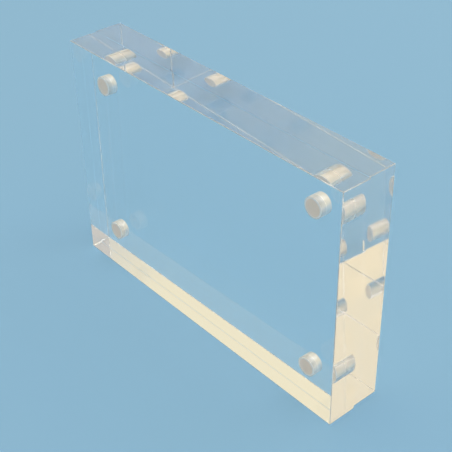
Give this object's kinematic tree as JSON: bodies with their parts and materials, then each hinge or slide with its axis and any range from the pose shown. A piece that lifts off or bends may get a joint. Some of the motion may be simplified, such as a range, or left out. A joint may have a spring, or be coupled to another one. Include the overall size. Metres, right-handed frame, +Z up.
{
  "type": "acrylic block frame",
  "caption": "Clear acrylic block photo frame: two thick polished blocks held face to face by disc magnets at the corners, standing on its long edge.",
  "frame": {"origin": "under the middle of the frame, in the plane that it stands on", "axes": "+X along the width, to the right as seen from the front; +Y from the front face to the back; +Z up"},
  "size_m": [0.1532, 0.0254, 0.1016],
  "materials": {
    "clear_acrylic": "polished",
    "nickel_plate": "satin"
  },
  "bodies": {
    "rear_half": {"rear_block": "clear_acrylic", "rear_magnet_top_left": "nickel_plate", "rear_magnet_top_right": "nickel_plate", "rear_magnet_bottom_left": "nickel_plate", "rear_magnet_bottom_right": "nickel_plate"},
    "front_half": {"front_block": "clear_acrylic", "front_magnet_top_left": "nickel_plate", "front_magnet_top_right": "nickel_plate", "front_magnet_bottom_left": "nickel_plate", "front_magnet_bottom_right": "nickel_plate"}
  },
  "joints": [
    {"name": "front_block_pull", "type": "slide", "parent": "rear_half", "child": "front_half", "axis": [0, -1, 0], "range_m": [0, 0.05]}
  ]
}
